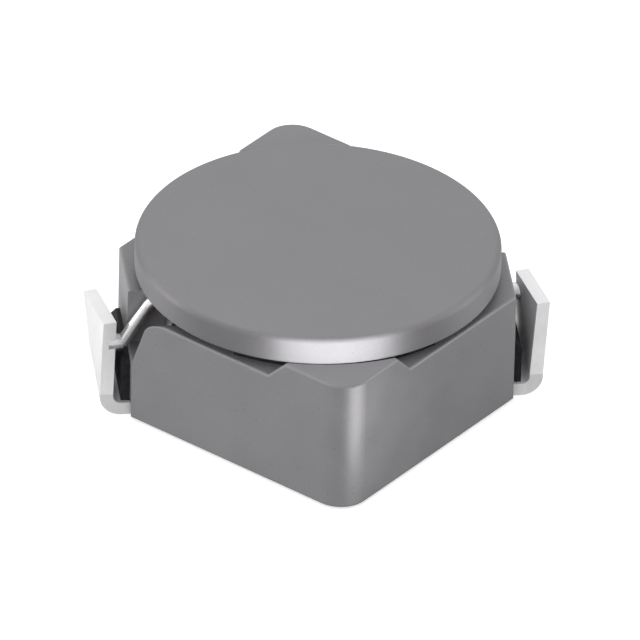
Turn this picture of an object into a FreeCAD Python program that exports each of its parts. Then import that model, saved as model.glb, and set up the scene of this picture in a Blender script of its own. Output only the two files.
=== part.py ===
import FreeCAD, Part
import math
import os
import re
import Sketcher

# Shielded power inductor for surface mounting, in millimetres.
# The origin is the centre of the footprint, X and Y run along the sides of the square shield, and Z is up.
# Its terminals stand at the corners (-X, -Y) and (+X, +Y). The other two corners are raised and rounded.
# What belongs to a terminal corner is drawn in that corner's own frame: X outwards along the diagonal,
# Y along the corner's face towards the side where the lead leaves, Z up.

doc = FreeCAD.newDocument("shielded_inductor")

# Driving dimensions, one named cell each
driving = {
    "shield_side": 6.7,
    "standoff": 0.05,
    "shield_height": 2.25,
    "corner_rise": 0.40,
    "corner_radius": 0.55,
    "ramp_reach": 1.88,
    "edge_round": 0.05,
    "corner_wall": 0.70,
    "seat_clearance": 0.17,
    "seat_bevel": 0.20,
    "flange_radius": 3.40,
    "flange_thickness": 0.55,
    "flange_gap": 0.15,
    "flange_edge": 0.12,
    "flange_lower_edge": 0.05,
    "post_radius": 1.40,
    "post_bevel": 0.10,
    "base_clearance": 0.10,
    "base_radius": 2.75,
    "base_thickness": 0.40,
    "base_bevel": 0.08,
    "bore_clearance": 0.12,
    "wire_diameter": 0.23,
    "turn_gap": 0.01,
    "winding_layers": 5,
    "lead_offset": 0.55,
    "lead_knee_inset": 0.45,
    "lead_bend": 0.30,
    "lead_end_level": 1.30,
    "lead_end_clearance": 0.03,
    "slot_clearance": 0.08,
    "slot_width": 0.80,
    "slot_floor": 1.20,
    "slot_taper": 0.27,
    "slot_round": 0.35,
    "sheet": 0.25,
    "foot_length": 1.80,
    "plate_gap": 0.32,
    "plate_top_offset": 0.03,
    "plate_twist_angle": 12,
    "terminal_height": 1.75,
    "terminal_width": 2.00,
    "terminal_top_width": 1.20,
    "flare_level": 0.45,
    "bend_radius": 0.15,
    "recess_clearance": 0.10,
    "pad_glue": 0.05,
    "pad_glue_margin": 0.08,
    "bead_drop": 0.10,
    "bead_bevel": 0.10,
    "core_glue_margin": 0.10,
    "core_glue_width": 0.28,
    "core_glue_angle": 70,
    "solder_depth": 0.16,
    "solder_radius": 0.19,
    "solder_skin": 0.04,
}

sizes = doc.addObject("Spreadsheet::Sheet", "sizes")
for row, (name, number) in enumerate(driving.items(), start=1):
    sizes.set(f"A{row}", name)
    sizes.set(f"B{row}", str(number))
    sizes.setAlias(f"B{row}", name)
doc.recompute()

# Levels and radii that several pieces share, worked out from the driving dimensions
half_side = "(shield_side / 2)"
side_top = "(standoff + shield_height)"
corner_top = f"({side_top} + corner_rise)"
flange_underside = f"({side_top} + flange_gap)"
part_top = f"({flange_underside} + flange_thickness)"
base_bottom = "(sheet + base_clearance)"
base_top = f"({base_bottom} + base_thickness)"
window_height = f"({flange_underside} - {base_top})"
bore_radius = "(base_radius + bore_clearance)"
seat_radius = "(flange_radius + seat_clearance)"
recess_top = "(sheet + pad_glue)"
corner_face = f"({bore_radius} + corner_wall)"
corner_cut = f"(shield_side - {corner_face} * sqrt(2))"
plate_inside = f"({corner_face} + plate_gap)"
plate_outside = f"({plate_inside} + sheet)"
foot_inside = f"({plate_outside} - foot_length)"
lead_level = f"({flange_underside} - wire_diameter)"
lead_knee = f"({corner_face} - lead_knee_inset)"

# Directions of the corners: terminals at the left and right, raised corners at the front and back
terminal_turns = {"left": -135, "right": 45}
raised_turns = {"front": -45, "back": 135}


# The expression with each driving dimension's name turned into its cell
def bound(text):
    def as_cell(word):
        name = word.group()
        return "sizes." + name if name in driving else name

    return re.sub(r"[a-z_]+", as_cell, text)


def origin_part(body, role):
    return next(item for item in body.Origin.OriginFeatures if item.Role == role)


def new_body(label, turn=0):
    body = doc.addObject("PartDesign::Body", label)
    body.Label = label
    body.Placement = FreeCAD.Placement(FreeCAD.Vector(), FreeCAD.Rotation(FreeCAD.Vector(0, 0, 1), turn))
    return body


def new_sketch(body, name, role, spin_axis=(0, 0, 1), spin=0, level=None):
    sketch = body.newObject("Sketcher::SketchObject", name)
    sketch.AttachmentSupport = [(origin_part(body, role), "")]
    sketch.MapMode = "FlatFace"
    turned = FreeCAD.Rotation(FreeCAD.Vector(*spin_axis), spin)
    sketch.AttachmentOffset = FreeCAD.Placement(FreeCAD.Vector(), turned)
    if level is not None:
        sketch.setExpression(".AttachmentOffset.Base.z", bound(level))
    return sketch


# How a sketch numbers the points of a line or circle
start_number, end_number, centre_number = 1, 2, 3


# Ties one point of a sketch to a pair of expressions, measured from the sketch's origin
def hold_point(sketch, element, point, place):
    ways = (("DistanceX", -2, place[0]), ("DistanceY", -1, place[1]))
    for kind, axis, text in ways:
        if text == "0":
            sketch.addConstraint(Sketcher.Constraint("PointOnObject", element, point, axis))
            continue
        index = sketch.addConstraint(Sketcher.Constraint(kind, -1, start_number, element, point, 1.0))
        sketch.setExpression(f"Constraints[{index}]", bound(text))


# Straight lines from corner to corner, each corner given as a pair of expressions
def draw_outline(sketch, corners, closed=True):
    first = sketch.GeometryCount
    count = len(corners)
    lines = count if closed else count - 1
    angles = [math.tau * k / count for k in range(count)]
    spread = [FreeCAD.Vector(math.cos(angle), math.sin(angle), 0) for angle in angles]
    for k in range(lines):
        sketch.addGeometry(Part.LineSegment(spread[k], spread[(k + 1) % count]), False)
    joints = [(k - 1, k) for k in range(1, lines)]
    if closed:
        joints.append((lines - 1, 0))
    for line, following in joints:
        sketch.addConstraint(Sketcher.Constraint(
            "Coincident", first + line, end_number, first + following, start_number))
    for k in range(lines):
        hold_point(sketch, first + k, start_number, corners[k])
    if not closed:
        hold_point(sketch, first + lines - 1, end_number, corners[-1])


# Rounds the corner at the end of one line of an outline
def round_corner(sketch, line, radius):
    doc.recompute()
    arc = sketch.GeometryCount
    first_radius = sizes.evalExpression(radius)
    sketch.fillet(line, end_number, first_radius, True, True)
    size = sketch.addConstraint(Sketcher.Constraint("Radius", arc, first_radius))
    sketch.setExpression(f"Constraints[{size}]", bound(radius))


def draw_circle(sketch, centre, radius):
    # Drawn off the origin at first, and moved to its place by what ties it
    loose = Part.Circle(FreeCAD.Vector(0.1, 0.1, 0), FreeCAD.Vector(0, 0, 1), 1.0)
    index = sketch.addGeometry(loose, False)
    hold_point(sketch, index, centre_number, centre)
    size = sketch.addConstraint(Sketcher.Constraint("Radius", index, 1.0))
    sketch.setExpression(f"Constraints[{size}]", bound(radius))


def add_feature(body, kind, name, sketch, **settings):
    feature = body.newObject("PartDesign::" + kind, name)
    feature.Profile = sketch
    for key, setting in settings.items():
        setattr(feature, key, setting)
    return feature


# A revolution or groove about the vertical axis of its sketch
def add_turned(body, kind, name, sketch, angle="360"):
    feature = add_feature(body, kind, name, sketch, ReferenceAxis=(sketch, ["V_Axis"]))
    feature.setExpression("Angle", bound(angle))
    return feature


# A pad or pocket of a given length, on the side of the sketch that its normal points to, or even about it
def add_extrusion(body, kind, name, sketch, length, symmetric=False):
    feature = add_feature(body, kind, name, sketch)
    feature.setExpression("Length", bound(length))
    if symmetric:
        feature.SideType = "Symmetric"
    elif kind == "Pocket":
        feature.Reversed = True
    return feature


# How far out the inner face of a terminal's plate stands at a level, beside the lead
def plate_at(level):
    share = f"({level} - flare_level) / (terminal_height - flare_level)"
    return f"({plate_inside} + (plate_top_offset - lead_offset * tan(plate_twist_angle)) * {share})"


# Half a turn about the vertical axis gives the twin of each listed feature
def add_twins(body, name, originals):
    pattern = body.newObject("PartDesign::PolarPattern", name)
    pattern.Originals = originals
    pattern.Axis = (origin_part(body, "Z_Axis"), [""])
    pattern.Angle = 360
    pattern.Occurrences = 2
    body.Tip = pattern
    return pattern


# A small fillet on the shield's top edges all the way round, which are the edges straight above its plan
def round_top_edges(body, plan):
    doc.recompute()
    bottom, top = sizes.evalExpression("standoff"), sizes.evalExpression(side_top)
    near = 0.0005
    block = body.Tip
    edges = []
    for number, edge in enumerate(block.Shape.Edges, start=1):
        middle = edge.valueAt((edge.FirstParameter + edge.LastParameter) / 2)
        below = Part.Vertex(middle.x, middle.y, bottom)
        if middle.z > top - near and plan.Shape.distToShape(below)[0] < near:
            edges.append(f"Edge{number}")
    rounds = body.newObject("PartDesign::Fillet", "top_edge_rounds")
    rounds.Base = (block, edges)
    rounds.setExpression("Radius", bound("edge_round"))


# Shield: a pressed square ring of ferrite round the winding
def make_shield_ring():
    body = new_body("shield_ring")

    plan = new_sketch(body, "shield_plan", "XY_Plane", level="standoff")
    cut = f"({half_side} - {corner_cut})"
    draw_outline(plan, [
        (f"-{cut}", f"-{half_side}"), (half_side, f"-{half_side}"), (half_side, cut),
        (cut, half_side), (f"-{half_side}", half_side), (f"-{half_side}", f"-{cut}"),
    ])
    # Lines 0 and 3 of the outline end at the raised corners
    for line in (0, 3):
        round_corner(plan, line, "corner_radius")
    add_extrusion(body, "Pad", "shield_block", plan, "shield_height + corner_rise")

    bore = new_sketch(body, "bore_circle", "XY_Plane", level="standoff")
    draw_circle(bore, ("0", "0"), bore_radius)
    add_extrusion(body, "Pocket", "bore", bore, "shield_height + corner_rise")

    # The round seat of the flange, bevelled at the top so that the whole rim stays in view
    seat = new_sketch(body, "seat_section", "XZ_Plane")
    draw_outline(seat, [
        ("0", side_top), (seat_radius, side_top), (seat_radius, f"{corner_top} - seat_bevel"),
        (f"{seat_radius} + seat_bevel", corner_top),
        (f"{seat_radius} + seat_bevel", f"{corner_top} + seat_bevel"), ("0", f"{corner_top} + seat_bevel"),
    ])
    add_turned(body, "Groove", "seat", seat)

    # Slopes at 45 degrees lead from the low sides up to the raised corners
    ramp_foot = f"({half_side} - ramp_reach)"
    for plane in ("XZ_Plane", "YZ_Plane"):
        side = new_sketch(body, "ramp_section_" + plane[:2].lower(), plane)
        draw_outline(side, [
            (f"-{ramp_foot}", side_top), (ramp_foot, side_top),
            (f"{ramp_foot} + corner_rise * 2", f"{corner_top} + corner_rise"),
            (f"-{ramp_foot} - corner_rise * 2", f"{corner_top} + corner_rise"),
        ])
        add_extrusion(body, "Pocket", "ramps_" + plane[:2].lower(), side, "shield_side * 2", symmetric=True)

    # The terminal corners stay low
    low = new_sketch(body, "low_corner_plan", "XY_Plane", (0, 0, 1), -135, side_top)
    draw_outline(low, [
        (ramp_foot, "-ramp_reach"), ("shield_side", "-ramp_reach"),
        ("shield_side", "ramp_reach"), (ramp_foot, "ramp_reach"),
    ])
    low_corner = add_extrusion(body, "Pocket", "low_corner", low, "corner_rise * 2")
    add_twins(body, "both_low_corners", [low_corner])
    round_top_edges(body, plan)

    # In each terminal corner a slot lets the lead out, and a recess below takes the foot
    slot = new_sketch(body, "slot_section", "XZ_Plane", (0, 1, 0), -45)
    slot_far = "(lead_offset - wire_diameter / 2 - slot_clearance)"
    slot_near = f"({slot_far} + slot_width)"
    slot_end = f"({slot_near} + slot_taper + slot_round)"
    slot_open = f"({side_top} + flange_gap)"
    draw_outline(slot, [
        (slot_far, "slot_floor"), (slot_near, "slot_floor"), (f"{slot_near} + slot_taper", side_top),
        (slot_end, side_top), (slot_end, slot_open), (slot_far, slot_open),
    ])
    # Line 1 of the outline ends at the shoulder between the slot's slope and the top
    round_corner(slot, 1, "slot_round")
    lead_slot = add_extrusion(body, "Pocket", "lead_slot", slot, "shield_side")
    foot = new_sketch(body, "recess_plan", "XY_Plane", (0, 0, 1), -135)
    foot_half = "(terminal_width / 2 + recess_clearance)"
    draw_outline(foot, [
        ("post_radius", f"-{foot_half}"), ("shield_side", f"-{foot_half}"),
        ("shield_side", foot_half), ("post_radius", foot_half),
    ])
    recess = add_extrusion(body, "Pocket", "foot_recess", foot, recess_top)
    add_twins(body, "both_slots_and_recesses", [lead_slot, recess])
    return body


# Drum core: post, wide upper flange that covers the shield, and lower flange in the bore, pressed as one
def make_drum_core():
    body = new_body("drum_core")
    section = new_sketch(body, "drum_section", "XZ_Plane")
    draw_outline(section, [
        ("0", base_bottom), ("base_radius - base_bevel", base_bottom),
        ("base_radius", f"{base_bottom} + base_bevel"), ("base_radius", f"{base_top} - base_bevel"),
        ("base_radius - base_bevel", base_top),
        ("post_radius + post_bevel", base_top), ("post_radius", f"{base_top} + post_bevel"),
        ("post_radius", f"{flange_underside} - post_bevel"), ("post_radius + post_bevel", flange_underside),
        ("flange_radius", flange_underside), ("flange_radius", part_top), ("0", part_top),
    ])
    # Lines 8 and 9 of the outline end at the lower and the upper edge of the rim
    for line, radius in ((8, "flange_lower_edge"), (9, "flange_edge")):
        round_corner(section, line, radius)
    add_turned(body, "Revolution", "drum", section)
    return body


# Winding: enamelled copper wire in close layers on the post, with its two ends led out to the terminals
def make_winding():
    body = new_body("winding", terminal_turns["left"])
    pitch = "(wire_diameter + turn_gap)"
    turn_count = f"floor({window_height} / {pitch})"
    end_space = f"(({window_height} - ({turn_count} - 1) * {pitch}) / 2)"
    first_turn = f"({base_top} + {end_space})"
    last_turn = f"({flange_underside} - {end_space})"
    last_layer = f"(post_radius + (winding_layers - 0.5) * {pitch})"
    inner = "(post_radius + post_bevel)"

    layers = new_sketch(body, "inner_layers", "XZ_Plane")
    draw_outline(layers, [
        (inner, first_turn), (last_layer, first_turn), (last_layer, last_turn), (inner, last_turn),
    ])
    add_turned(body, "Revolution", "wound_layers", layers)

    # The turns of the outer layer are eight-sided, which is as round as they look in the shield's shade
    turn = new_sketch(body, "turn_section", "XZ_Plane")
    flat, tip = "wire_diameter / 2", f"wire_diameter / 2 * tan({360 / 8 / 2})"
    ring = [(flat, tip), (tip, flat), (f"-{tip}", flat), (f"-{flat}", tip),
            (f"-{flat}", f"-{tip}"), (f"-{tip}", f"-{flat}"), (tip, f"-{flat}"), (flat, f"-{tip}")]
    draw_outline(turn, [(f"{last_layer} + {out}", f"{first_turn} + {up}") for out, up in ring])
    outer_turn = add_turned(body, "Revolution", "outer_turn", turn)
    rows = body.newObject("PartDesign::LinearPattern", "outer_turns")
    rows.Originals = [outer_turn]
    rows.Direction = (origin_part(body, "Z_Axis"), [""])
    rows.setExpression("Length", bound(f"({turn_count} - 1) * {pitch}"))
    rows.setExpression("Occurrences", bound(turn_count))
    body.Tip = rows

    # Each lead leaves the outer layer level, through the slot, and slopes down to the inside of its terminal
    path = new_sketch(body, "lead_path", "XZ_Plane", level="-lead_offset")
    draw_outline(path, [
        (last_layer, lead_level), (lead_knee, lead_level),
        (f"{plate_at('lead_end_level')} - wire_diameter / 2 - lead_end_clearance", "lead_end_level"),
    ], closed=False)
    round_corner(path, 0, "lead_bend")
    section = new_sketch(body, "lead_section", "YZ_Plane", level=last_layer)
    draw_circle(section, ("lead_offset", lead_level), "wire_diameter / 2")
    doc.recompute()
    lead = add_feature(body, "AdditivePipe", "lead", section)
    lead.Spine = (path, ["Edge1", "Edge2", "Edge3"])
    add_twins(body, "both_leads", [lead])
    return body


# Terminal: one strip of tinned sheet. Its foot lies below the shield. Its plate stands clear of the corner,
# narrows towards the top and is twisted a little, so that the side with the lead is the nearer one
def make_terminal(side):
    body = new_body("terminal_" + side, terminal_turns[side])
    section = new_sketch(body, "strip_section_" + side, "XZ_Plane")
    draw_outline(section, [
        (foot_inside, "0"), (plate_outside, "0"), (plate_outside, "flare_level"),
        (plate_inside, "flare_level"), (plate_inside, "sheet"), (foot_inside, "sheet"),
    ])
    # Lines 0 and 3 of the outline end at the outside and the inside of the bend
    for line, radius in ((0, "bend_radius + sheet"), (3, "bend_radius")):
        round_corner(section, line, radius)
    add_extrusion(body, "Pad", "strip_" + side, section, "terminal_width", symmetric=True)

    lower = new_sketch(body, "plate_foot_" + side, "XY_Plane", level="flare_level")
    half = "terminal_width / 2"
    draw_outline(lower, [
        (plate_inside, "-" + half), (plate_outside, "-" + half), (plate_outside, half), (plate_inside, half),
    ])
    twist = driving["plate_twist_angle"]
    upper = new_sketch(body, "plate_top_" + side, "XY_Plane", spin=twist, level="terminal_height")
    upper.setExpression(".AttachmentOffset.Base.x", bound(f"{plate_inside} + sheet / 2 + plate_top_offset"))
    upper.setExpression(".AttachmentOffset.Rotation.Angle", bound("plate_twist_angle"))
    thick_half, top_half = "sheet / 2", "terminal_top_width / 2"
    draw_outline(upper, [
        ("-" + thick_half, "-" + top_half), (thick_half, "-" + top_half),
        (thick_half, top_half), ("-" + thick_half, top_half),
    ])
    plate = add_feature(body, "AdditiveLoft", "plate_" + side, lower)
    plate.Sections = [upper]
    plate.Ruled = True
    return body


# Solder round the end of the lead, a cone that stands on the inside of the plate
def make_solder(side, terminal, winding):
    turn = terminal_turns[side]
    foot = f"({plate_at('lead_end_level')} + sheet / 2)"
    cone = doc.addObject("Part::Cone", "solder_cone_" + side)
    cone.setExpression("Radius1", bound("solder_radius"))
    cone.setExpression("Radius2", bound("wire_diameter / 2 + solder_skin"))
    cone.setExpression("Height", bound("solder_depth + sheet / 2"))
    inwards = FreeCAD.Rotation(FreeCAD.Vector(0, 0, 1), turn) * FreeCAD.Rotation(FreeCAD.Vector(0, 1, 0), -90)
    cone.Placement = FreeCAD.Placement(FreeCAD.Vector(), inwards)
    cone.setExpression(".Placement.Base.x", bound(f"cos({turn}) * {foot} - sin({turn}) * lead_offset"))
    cone.setExpression(".Placement.Base.y", bound(f"sin({turn}) * {foot} + cos({turn}) * lead_offset"))
    cone.setExpression(".Placement.Base.z", bound("lead_end_level"))
    outside_plate = doc.addObject("Part::Cut", "solder_on_plate_" + side)
    outside_plate.Base = cone
    outside_plate.Tool = terminal
    joint = doc.addObject("Part::Cut", "solder_" + side)
    joint.Base = outside_plate
    joint.Tool = winding
    return joint


# Adhesive between the underside of the flange and the shield, an arc in front of each raised corner
def make_core_adhesive(side):
    body = new_body("core_adhesive_" + side, raised_turns[side])
    section = new_sketch(body, "core_glue_section_" + side, "XZ_Plane")
    inner = f"({bore_radius} + core_glue_margin)"
    outer = f"({inner} + core_glue_width)"
    draw_outline(section, [
        (inner, side_top), (outer, side_top), (outer, flange_underside), (inner, flange_underside),
    ])
    arc = add_turned(body, "Revolution", "core_glue_arc_" + side, section, "core_glue_angle")
    arc.Midplane = True
    return body


# Adhesive between the terminal's foot and the shield, a film that goes on as a bead up the cut corner
def make_terminal_adhesive(side):
    body = new_body("terminal_adhesive_" + side, terminal_turns[side])
    section = new_sketch(body, "glue_section_" + side, "XZ_Plane")
    inner, outer = f"({bore_radius} + pad_glue_margin)", f"({plate_inside} - bend_radius)"
    bead_top = "(slot_floor - bead_drop)"
    draw_outline(section, [
        (inner, "sheet"), (outer, "sheet"), (outer, f"{bead_top} - bead_bevel"),
        (f"{outer} - bead_bevel", bead_top), (corner_face, bead_top), (corner_face, recess_top),
        (inner, recess_top),
    ])
    width = "terminal_width - 2 * pad_glue_margin"
    add_extrusion(body, "Pad", "glue_" + side, section, width, symmetric=True)
    return body


pieces = [make_shield_ring(), make_drum_core(), make_winding()]
winding = pieces[-1]
for side in terminal_turns:
    terminal = make_terminal(side)
    pieces += [terminal, make_solder(side, terminal, winding), make_terminal_adhesive(side)]
for side in raised_turns:
    pieces.append(make_core_adhesive(side))
doc.recompute()

for item in doc.Objects:
    if "Invalid" in item.State or "Error" in item.State:
        raise RuntimeError(item.Name + " did not build: " + str(item.State))
for piece in pieces:
    if piece.Shape.isNull() or not piece.Shape.isValid():
        raise RuntimeError(piece.Label + " has no valid shape")

os.makedirs("parts", exist_ok=True)
for piece in pieces:
    piece.Shape.exportStep(f"parts/{piece.Label}.step")
    print(piece.Label, round(piece.Shape.Volume, 4), len(piece.Shape.Solids), len(piece.Shape.Faces))
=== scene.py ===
import math

import bpy
import numpy as np
from mathutils import Matrix, Vector


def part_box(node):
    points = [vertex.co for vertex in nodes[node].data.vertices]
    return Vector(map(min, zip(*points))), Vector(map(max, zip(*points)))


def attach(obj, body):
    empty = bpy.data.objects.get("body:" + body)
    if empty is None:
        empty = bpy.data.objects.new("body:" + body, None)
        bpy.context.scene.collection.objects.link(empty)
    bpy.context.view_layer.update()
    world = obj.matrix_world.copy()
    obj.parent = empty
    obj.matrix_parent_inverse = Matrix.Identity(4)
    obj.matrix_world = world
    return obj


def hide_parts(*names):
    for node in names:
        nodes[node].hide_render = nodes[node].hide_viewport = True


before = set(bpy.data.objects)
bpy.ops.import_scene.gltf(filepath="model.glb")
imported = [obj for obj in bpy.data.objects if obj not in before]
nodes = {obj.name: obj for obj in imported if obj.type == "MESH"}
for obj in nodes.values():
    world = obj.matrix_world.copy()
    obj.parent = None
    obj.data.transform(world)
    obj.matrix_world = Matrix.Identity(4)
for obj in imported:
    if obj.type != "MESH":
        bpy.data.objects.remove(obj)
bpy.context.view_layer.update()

# Shielded inductor for surface mounting, 6.7 mm square and 3 mm high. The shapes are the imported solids,
# apart from the core, which is turned again with finer edges. Here they get their finishes, and the floor,
# light and camera of the picture.
mm = 0.001
print("frame loaded:", len(nodes), "pieces")


# A node material, with the place on the piece that its patterns read
def newMaterial(name):
    material = bpy.data.materials.new(name)
    material.use_nodes = True
    tree = material.node_tree
    shader = tree.nodes["Principled BSDF"]
    place = tree.nodes.new("ShaderNodeTexCoord").outputs["Object"]
    return material, tree, shader, place


# Noise with lumps about as wide as size, pulled long where stretch is below 1
def noise(tree, place, size, detail=2.0, roughness=0.5, stretch=None):
    if stretch is not None:
        mapping = tree.nodes.new("ShaderNodeMapping")
        mapping.inputs["Scale"].default_value = stretch
        tree.links.new(place, mapping.inputs["Vector"])
        place = mapping.outputs["Vector"]
    texture = tree.nodes.new("ShaderNodeTexNoise")
    texture.inputs["Scale"].default_value = 1.0 / size
    texture.inputs["Detail"].default_value = detail
    texture.inputs["Roughness"].default_value = roughness
    tree.links.new(place, texture.inputs["Vector"])
    return texture.outputs["Fac"]


# The values low to high become start to end, and are held beyond them
def remap(tree, value, low, high, start, end, smooth=False):
    node = tree.nodes.new("ShaderNodeMapRange")
    if smooth:
        node.interpolation_type = "SMOOTHSTEP"
    for socket, number in (("From Min", low), ("From Max", high), ("To Min", start), ("To Max", end)):
        node.inputs[socket].default_value = number
    tree.links.new(value, node.inputs["Value"])
    return node.outputs["Result"]


# First colour where share is 0 and second where it is 1, each as three numbers or a socket
def blendColours(tree, share, first, second):
    node = tree.nodes.new("ShaderNodeMix")
    node.data_type = "RGBA"
    tree.links.new(share, node.inputs["Factor"])
    for socket, colour in ((node.inputs[6], first), (node.inputs[7], second)):
        if isinstance(colour, tuple):
            socket.default_value = (*colour, 1.0)
        else:
            tree.links.new(colour, socket)
    return node.outputs[2]


def calculate(tree, kind, first, second):
    node = tree.nodes.new("ShaderNodeMath")
    node.operation = kind
    for socket, value in ((node.inputs[0], first), (node.inputs[1], second)):
        if isinstance(value, (int, float)):
            socket.default_value = value
        else:
            tree.links.new(value, socket)
    return node.outputs["Value"]


# The values that noise mostly keeps to, and the strength of a soft relief
cloudRange = (0.3, 0.7)
softRelief = 0.4


# Two patterns added, each by its share
def mixed(tree, first, firstShare, second, secondShare):
    firstPart = calculate(tree, "MULTIPLY", first, firstShare)
    secondPart = calculate(tree, "MULTIPLY", second, secondShare)
    return calculate(tree, "ADD", firstPart, secondPart)


# The middle of a pattern's values stretched to 0 to 1, so that both colours show
def spread(tree, pattern, low=0.35, high=0.65):
    return remap(tree, pattern, low, high, 0.0, 1.0)


# Distance from the upright axis through the middle of the part
def distanceFromAxis(tree, place):
    parts = tree.nodes.new("ShaderNodeSeparateXYZ")
    tree.links.new(place, parts.inputs["Vector"])
    squares = [calculate(tree, "MULTIPLY", parts.outputs[axis], parts.outputs[axis]) for axis in "XY"]
    return calculate(tree, "POWER", calculate(tree, "ADD", *squares), 0.5)


def bump(tree, height, depth, strength, under=None):
    node = tree.nodes.new("ShaderNodeBump")
    node.inputs["Distance"].default_value = depth
    node.inputs["Strength"].default_value = strength
    tree.links.new(height, node.inputs["Height"])
    if under is not None:
        tree.links.new(under, node.inputs["Normal"])
    return node.outputs["Normal"]


# Edges that catch light as if they were rounded by this radius
def roundedEdges(tree, radius):
    node = tree.nodes.new("ShaderNodeBevel")
    node.samples = 8
    node.inputs["Radius"].default_value = radius
    return node.outputs["Normal"]


def setUniform(shader, values):
    for socket, value in values.items():
        shader.inputs[socket].default_value = value


# Sintered ferrite: fine grain and broad mottling in its colour, a few small pores, a satin gloss
shieldFinish = {
    "colour": (0.245, 0.240, 0.251), "darker": (0.220, 0.215, 0.225), "pore": (0.132, 0.130, 0.136),
    "grain": 0.05 * mm, "grainShare": 0.55, "mottle": 0.9 * mm, "mottleShare": 0.45,
    "poreSpacing": 0.18 * mm, "poreSize": (0.04, 0.09), "roughness": (0.44, 0.52),
    "grainDepth": 0.003 * mm, "grainStrength": 0.5, "edgeRadius": 0.05 * mm, "uniform": {"Metallic": 0.35},
}

# The core is ground on its rim, and grooves that run round it spread its highlights up and down
coreFinish = {
    "colour": (0.240, 0.235, 0.246), "darker": (0.220, 0.215, 0.225), "pore": (0.150, 0.147, 0.154),
    "grain": 0.05 * mm, "grainShare": 0.55, "mottle": 1.1 * mm, "mottleShare": 0.45,
    "poreSpacing": 0.22 * mm, "poreSize": (0.03, 0.07), "roughness": (0.36, 0.42),
    "rimRoughness": 0.18, "rimGrooves": 0.78, "rimFrom": (3.28 * mm, 3.36 * mm),
    "grainDepth": 0.002 * mm, "grainStrength": 0.5, "edgeRadius": 0.03 * mm,
    "uniform": {"Metallic": 0.80, "Anisotropic Rotation": 0.25},
}


def ferrite(name, finish, ground=False):
    material, tree, shader, place = newMaterial(name)
    grain = noise(tree, place, finish["grain"], detail=3.0, roughness=0.6)
    mottle = noise(tree, place, finish["mottle"], detail=3.0)
    shade = mixed(tree, grain, finish["grainShare"], mottle, finish["mottleShare"])
    body = blendColours(tree, spread(tree, shade), finish["darker"], finish["colour"])
    pores = tree.nodes.new("ShaderNodeTexVoronoi")
    pores.inputs["Scale"].default_value = 1.0 / finish["poreSpacing"]
    tree.links.new(place, pores.inputs["Vector"])
    pit = remap(tree, pores.outputs["Distance"], *finish["poreSize"], 1.0, 0.0)
    tree.links.new(blendColours(tree, pit, body, finish["pore"]), shader.inputs["Base Color"])
    roughness = remap(tree, mottle, *cloudRange, *finish["roughness"])
    if ground:
        onRim = remap(tree, distanceFromAxis(tree, place), *finish["rimFrom"], 0.0, 1.0)
        rougher = calculate(tree, "MULTIPLY", onRim, finish["rimRoughness"])
        roughness = calculate(tree, "ADD", roughness, rougher)
        grooved = calculate(tree, "MULTIPLY", onRim, finish["rimGrooves"])
        tree.links.new(grooved, shader.inputs["Anisotropic"])
    tree.links.new(roughness, shader.inputs["Roughness"])
    height = calculate(tree, "SUBTRACT", grain, pit)
    rounded = roundedEdges(tree, finish["edgeRadius"])
    relief = bump(tree, height, finish["grainDepth"], finish["grainStrength"], rounded)
    tree.links.new(relief, shader.inputs["Normal"])
    if ground:
        grooves = tree.nodes.new("ShaderNodeTangent")
        grooves.direction_type = "RADIAL"
        grooves.axis = "Z"
        tree.links.new(grooves.outputs["Tangent"], shader.inputs["Tangent"])
    setUniform(shader, finish["uniform"])
    return material


# Tin plating: lines left by rolling the sheet, soft clouds in the gloss, a shallow orange peel
sheetFinish = {
    "colour": (0.92, 0.91, 0.92), "darker": (0.86, 0.85, 0.86), "lines": 0.05 * mm, "lineShare": 0.4,
    "clouds": 0.7 * mm, "cloudShare": 0.6, "along": (1.0, 1.0, 0.12), "roughness": (0.60, 0.70),
    "depth": 0.002 * mm, "uniform": {"Metallic": 0.7},
}
solderFinish = {
    "colour": (0.72, 0.71, 0.72), "darker": (0.60, 0.59, 0.61), "lines": 0.08 * mm, "lineShare": 0.4,
    "clouds": 0.2 * mm, "cloudShare": 0.6, "along": (1.0, 1.0, 1.0), "roughness": (0.22, 0.34),
    "depth": 0.003 * mm, "uniform": {"Metallic": 1.0},
}


def tin(name, finish):
    material, tree, shader, place = newMaterial(name)
    lines = noise(tree, place, finish["lines"], stretch=finish["along"])
    clouds = noise(tree, place, finish["clouds"], detail=3.0)
    shade = mixed(tree, lines, finish["lineShare"], clouds, finish["cloudShare"])
    colour = blendColours(tree, spread(tree, shade, high=0.6), finish["darker"], finish["colour"])
    tree.links.new(colour, shader.inputs["Base Color"])
    tree.links.new(remap(tree, clouds, *cloudRange, *finish["roughness"]), shader.inputs["Roughness"])
    tree.links.new(bump(tree, lines, finish["depth"], softRelief), shader.inputs["Normal"])
    setUniform(shader, finish["uniform"])
    return material


# Copper wire under clear enamel. Beyond the shield's bore its ends are stripped and tinned
wireFinish = {
    "enamel": (0.42, 0.13, 0.045), "enamelDark": (0.26, 0.07, 0.025), "tinned": (0.88, 0.87, 0.88),
    "streak": 0.06 * mm, "tinFrom": 2.86 * mm, "tinFull": 2.94 * mm, "roughness": (0.26, 0.34),
    "uniform": {"Metallic": 1.0, "Coat Weight": 0.4, "Coat Roughness": 0.12},
}


def enamelledWire(name, finish):
    material, tree, shader, place = newMaterial(name)
    streak = noise(tree, place, finish["streak"])
    enamel = blendColours(tree, spread(tree, streak), finish["enamelDark"], finish["enamel"])
    bare = remap(tree, distanceFromAxis(tree, place), finish["tinFrom"], finish["tinFull"], 0.0, 1.0)
    tree.links.new(blendColours(tree, bare, enamel, finish["tinned"]), shader.inputs["Base Color"])
    tree.links.new(remap(tree, streak, *cloudRange, *finish["roughness"]), shader.inputs["Roughness"])
    setUniform(shader, finish["uniform"])
    return material


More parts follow.
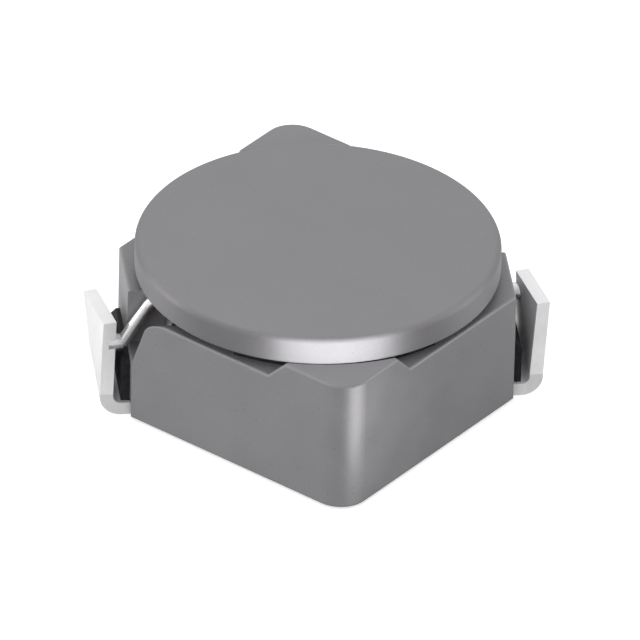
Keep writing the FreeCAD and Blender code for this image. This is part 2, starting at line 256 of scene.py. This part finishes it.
# Cured epoxy, a little cloudy, with a soft skin. Its near black colour is painted shade: the adhesive pieces
# stand in for the shadow in the gaps behind the terminals and under the flange
epoxyShadeFinish = {
    "colour": (0.010, 0.010, 0.012), "lighter": (0.020, 0.020, 0.023), "lumps": 0.12 * mm,
    "roughness": (0.42, 0.58), "depth": 0.01 * mm, "uniform": {"Specular IOR Level": 0.18},
}


def epoxy(name, finish):
    material, tree, shader, place = newMaterial(name)
    lumps = noise(tree, place, finish["lumps"])
    share = spread(tree, lumps, *cloudRange)
    colour = blendColours(tree, share, finish["colour"], finish["lighter"])
    tree.links.new(colour, shader.inputs["Base Color"])
    tree.links.new(remap(tree, lumps, *cloudRange, *finish["roughness"]), shader.inputs["Roughness"])
    tree.links.new(bump(tree, lumps, finish["depth"], softRelief), shader.inputs["Normal"])
    setUniform(shader, finish["uniform"])
    return material


# The core as it is turned and ground, with smooth round edges on its flange. The profile runs from the
# middle of the underside round the base, post and flange to the middle of the top, with a quarter circle
# at each edge of the flange. Its point (away, height) stands at (away cos t, away sin t, height) for
# angles t evenly round the circle
coreShape = {
    "baseRadius": 2.75 * mm, "baseTop": 0.75 * mm, "baseBevel": 0.08 * mm, "postRadius": 1.40 * mm,
    "postBevel": 0.10 * mm, "flangeBottom": 2.45 * mm, "lowerRound": 0.05 * mm, "upperRound": 0.12 * mm,
    "arcSteps": 8, "steps": 256, "creaseAngle": 30.0,
}


def makeTurnedCore(look):
    low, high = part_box("drum_core")
    bottom, top, flange = low[2], high[2], high[0]
    base, baseTop, baseBevel = look["baseRadius"], look["baseTop"], look["baseBevel"]
    post, postBevel, under = look["postRadius"], look["postBevel"], look["flangeBottom"]
    lower, upper = look["lowerRound"], look["upperRound"]
    arc = np.linspace(0.0, math.pi / 2, look["arcSteps"] + 1)
    lowerArc = np.stack([flange - lower + lower * np.sin(arc), under + lower - lower * np.cos(arc)], 1)
    upperArc = np.stack([flange - upper + upper * np.cos(arc), top - upper + upper * np.sin(arc)], 1)
    profile = np.concatenate([[
        (base - baseBevel, bottom), (base, bottom + baseBevel), (base, baseTop - baseBevel),
        (base - baseBevel, baseTop), (post + postBevel, baseTop), (post, baseTop + postBevel),
        (post, under - postBevel), (post + postBevel, under),
    ], lowerArc, upperArc])
    angles = np.arange(look["steps"]) * math.tau / look["steps"]
    away, height = profile[:, :1], profile[:, 1:]
    levels = height * np.ones(look["steps"])
    rings = np.stack([away * np.cos(angles), away * np.sin(angles), levels], 2).reshape(-1, 3)
    points = np.concatenate([rings, [(0.0, 0.0, bottom), (0.0, 0.0, top)]])
    number = np.arange(len(rings)).reshape(len(profile), look["steps"])
    following = np.roll(number, -1, axis=1)
    walls = np.stack([number[:-1], following[:-1], following[1:], number[1:]], 2).reshape(-1, 4)
    middle = np.full(look["steps"], len(rings))
    underside = np.stack([middle, following[0], number[0]], 1)
    topFace = np.stack([middle + 1, number[-1], following[-1]], 1)
    mesh = bpy.data.meshes.new("turned_core")
    mesh.from_pydata(points.tolist(), [], walls.tolist() + underside.tolist() + topFace.tolist())
    mesh.polygons.foreach_set("use_smooth", np.ones(len(mesh.polygons), dtype=bool))
    mesh.set_sharp_from_angle(angle=math.radians(look["creaseAngle"]))
    core = bpy.data.objects.new("turned_core", mesh)
    bpy.context.scene.collection.objects.link(core)
    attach(core, "root")
    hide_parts("drum_core")
    return core


pieces = dict(nodes)
pieces["drum_core"] = makeTurnedCore(coreShape)
print("core turned")

shieldFerrite = ferrite("shieldFerrite", shieldFinish)
coreFerrite = ferrite("coreFerrite", coreFinish, ground=True)
tinnedSheet = tin("tinnedSheet", sheetFinish)
solderSkin = tin("solderSkin", solderFinish)
copperWire = enamelledWire("copperWire", wireFinish)
epoxyPaintedShade = epoxy("epoxyPaintedShade", epoxyShadeFinish)
finishes = {
    "shield_ring": shieldFerrite, "drum_core": coreFerrite, "winding": copperWire,
    "terminal_left": tinnedSheet, "terminal_right": tinnedSheet,
    "solder_left": solderSkin, "solder_right": solderSkin,
    # The adhesive pieces get the near black epoxy, which paints the shade in the gaps behind the terminals
    # and under the flange
    "terminal_adhesive_left": epoxyPaintedShade, "terminal_adhesive_right": epoxyPaintedShade,
    "core_adhesive_front": epoxyPaintedShade, "core_adhesive_back": epoxyPaintedShade,
}
for name, material in finishes.items():
    pieces[name].data.materials.clear()
    pieces[name].data.materials.append(material)
print("finishes given to", len(finishes), "pieces")


# A very long lens from above the front corner, turned a little to the right
cameraLook = {
    "azimuth": 37.5, "elevation": 33.0, "roll": 1.4, "distance": 0.30, "sensor": 36.0, "clip": (0.01, 10.0),
    "pixelsPerMm": 53.74, "baseCentre": (315.0, 373.0), "aimHeight": 0.05 * mm, "imageSize": 640,
}


# Unit vector towards a direction given in degrees, azimuth from -Y towards +X
def direction(azimuth, elevation):
    azimuth, elevation = math.radians(azimuth), math.radians(elevation)
    level = math.cos(elevation)
    return Vector((math.sin(azimuth) * level, -math.cos(azimuth) * level, math.sin(elevation)))


def makeCamera(look):
    back = direction(look["azimuth"], look["elevation"])
    right = direction(look["azimuth"] + 90.0, 0.0)
    up = back.cross(right)
    roll = math.radians(look["roll"])
    rolledRight = right * math.cos(roll) + up * math.sin(roll)
    rolledUp = up * math.cos(roll) - right * math.sin(roll)
    middle = look["imageSize"] / 2
    across = (middle - look["baseCentre"][0]) / look["pixelsPerMm"] * mm
    upwards = (look["baseCentre"][1] - middle) / look["pixelsPerMm"] * mm
    target = Vector((0.0, 0.0, look["aimHeight"])) + rolledRight * across + rolledUp * upwards
    data = bpy.data.cameras.new("camera")
    data.sensor_width = look["sensor"]
    data.lens = data.sensor_width * look["distance"] / (look["imageSize"] / look["pixelsPerMm"] * mm)
    data.clip_start, data.clip_end = look["clip"]
    camera = bpy.data.objects.new("camera", data)
    bpy.context.scene.collection.objects.link(camera)
    turn = Matrix((rolledRight, rolledUp, back)).transposed()
    camera.matrix_world = Matrix.Translation(target + back * look["distance"]) @ turn.to_4x4()
    bpy.context.scene.camera = camera


makeCamera(cameraLook)
print("camera placed")


# White paper. The camera sees it white with the part's shadow. In reflections it is white behind the part
# and falls off to grey on the near side, as paper does whose light stands behind the part
floorLook = {
    "half": 0.6, "colour": (0.86, 0.86, 0.86), "roughness": 0.9, "ownLight": 0.50,
    "mirroredFar": 1.0, "mirroredNear": 0.36, "turnsGrey": (-0.5, 0.3),
}
skyLook = {"light": 0.80, "seen": 1.0}


def makeFloor(look):
    half = look["half"]
    mesh = bpy.data.meshes.new("floor")
    corners = [(-half, -half, 0), (half, -half, 0), (half, half, 0), (-half, half, 0)]
    mesh.from_pydata(corners, [], [(0, 1, 2, 3)])
    floor = bpy.data.objects.new("floor", mesh)
    bpy.context.scene.collection.objects.link(floor)
    material, tree, shader, place = newMaterial("floorPaper")
    setUniform(shader, {
        "Roughness": look["roughness"], "Specular IOR Level": 0.0, "Base Color": (*look["colour"], 1.0),
        "Emission Color": (1.0, 1.0, 1.0, 1.0),
    })
    path = tree.nodes.new("ShaderNodeLightPath")
    ownLight = calculate(tree, "MULTIPLY", path.outputs["Is Camera Ray"], look["ownLight"])
    tree.links.new(ownLight, shader.inputs["Emission Strength"])
    outwards = tree.nodes.new("ShaderNodeVectorMath")
    outwards.operation = "NORMALIZE"
    tree.links.new(place, outwards.inputs[0])
    nearness = tree.nodes.new("ShaderNodeVectorMath")
    nearness.operation = "DOT_PRODUCT"
    nearness.inputs[1].default_value = direction(cameraLook["azimuth"], 0.0)
    tree.links.new(outwards.outputs["Vector"], nearness.inputs[0])
    mirrored = tree.nodes.new("ShaderNodeEmission")
    levels = (look["mirroredFar"], look["mirroredNear"])
    strength = remap(tree, nearness.outputs["Value"], *look["turnsGrey"], *levels, smooth=True)
    tree.links.new(strength, mirrored.inputs["Strength"])
    choice = tree.nodes.new("ShaderNodeMixShader")
    inMirror = calculate(tree, "MAXIMUM", path.outputs["Is Glossy Ray"], path.outputs["Is Transmission Ray"])
    tree.links.new(inMirror, choice.inputs["Fac"])
    tree.links.new(shader.outputs["BSDF"], choice.inputs[1])
    tree.links.new(mirrored.outputs["Emission"], choice.inputs[2])
    tree.links.new(choice.outputs["Shader"], tree.nodes["Material Output"].inputs["Surface"])
    mesh.materials.append(material)


# The sky is white where it is seen, directly or in a reflection, and lights the part more softly
def makeSky(look):
    world = bpy.data.worlds.new("studio")
    bpy.context.scene.world = world
    world.use_nodes = True
    tree = world.node_tree
    path = tree.nodes.new("ShaderNodeLightPath")
    seen = calculate(tree, "MAXIMUM", path.outputs["Is Camera Ray"], path.outputs["Is Glossy Ray"])
    seen = calculate(tree, "MAXIMUM", seen, path.outputs["Is Transmission Ray"])
    background = tree.nodes["Background"]
    strength = remap(tree, seen, 0.0, 1.0, look["light"], look["seen"])
    tree.links.new(strength, background.inputs["Strength"])
    background.inputs["Color"].default_value = (1.0, 1.0, 1.0, 1.0)


makeFloor(floorLook)
makeSky(skyLook)
print("floor and sky made")


# Soft lamps, with azimuths from the camera's. The two strips stand just in front of the corner, no higher
# than the top face. They only give the gloss on the core's rim and on the shield's rounded corner
lamps = {
    "rimStrip": {
        "azimuth": 9.0, "elevation": 0.0, "distance": 7.2 * mm, "lift": 1.8 * mm,
        "size": (7.0 * mm, 2.4 * mm), "power": 0.0008, "lights": False, "gloss": True,
        "onlyOn": ("drum_core",),
    },
    "cornerStrip": {
        "azimuth": 28.0, "elevation": 0.0, "distance": 6.2 * mm, "lift": 1.0 * mm,
        "size": (3.0 * mm, 2.0 * mm), "power": 0.00010, "lights": False, "gloss": True,
        "onlyOn": ("shield_ring",),
    },
    "fill": {
        "azimuth": -42.0, "elevation": 8.0, "distance": 0.10, "lift": 0.0, "size": (0.06, 0.04),
        "power": 0.042, "lights": True, "gloss": False, "onlyOn": (),
    },
    "left": {
        "azimuth": -98.0, "elevation": 12.0, "distance": 0.10, "lift": 0.0, "size": (0.05, 0.04),
        "power": 0.024, "lights": True, "gloss": True, "onlyOn": (),
    },
    "right": {
        "azimuth": 96.0, "elevation": 12.0, "distance": 0.10, "lift": 0.0, "size": (0.05, 0.04),
        "power": 0.020, "lights": True, "gloss": True, "onlyOn": (),
    },
    "top": {
        "azimuth": -150.0, "elevation": 66.0, "distance": 0.12, "lift": 0.0, "size": (0.12, 0.12),
        "power": 0.012, "lights": True, "gloss": True, "onlyOn": (),
    },
}


def makeLamp(name, look):
    out = direction(cameraLook["azimuth"] + look["azimuth"], look["elevation"])
    data = bpy.data.lights.new(name, "AREA")
    data.shape = "RECTANGLE"
    data.size, data.size_y = look["size"]
    data.energy = look["power"]
    lamp = bpy.data.objects.new(name, data)
    bpy.context.scene.collection.objects.link(lamp)
    lamp.location = out * look["distance"] + Vector((0.0, 0.0, look["lift"]))
    lamp.rotation_euler = out.to_track_quat("Z", "Y").to_euler()
    lamp.visible_camera = False
    lamp.visible_diffuse = look["lights"]
    lamp.visible_glossy = look["gloss"]
    if look["onlyOn"]:
        lit = bpy.data.collections.new(name + "Pieces")
        for piece in look["onlyOn"]:
            lit.objects.link(pieces[piece])
        lamp.light_linking.receiver_collection = lit
        lamp.light_linking.blocker_collection = lit


for name, look in lamps.items():
    makeLamp(name, look)
print(len(lamps), "lamps placed")

bpy.context.scene.view_settings.view_transform = "Standard"
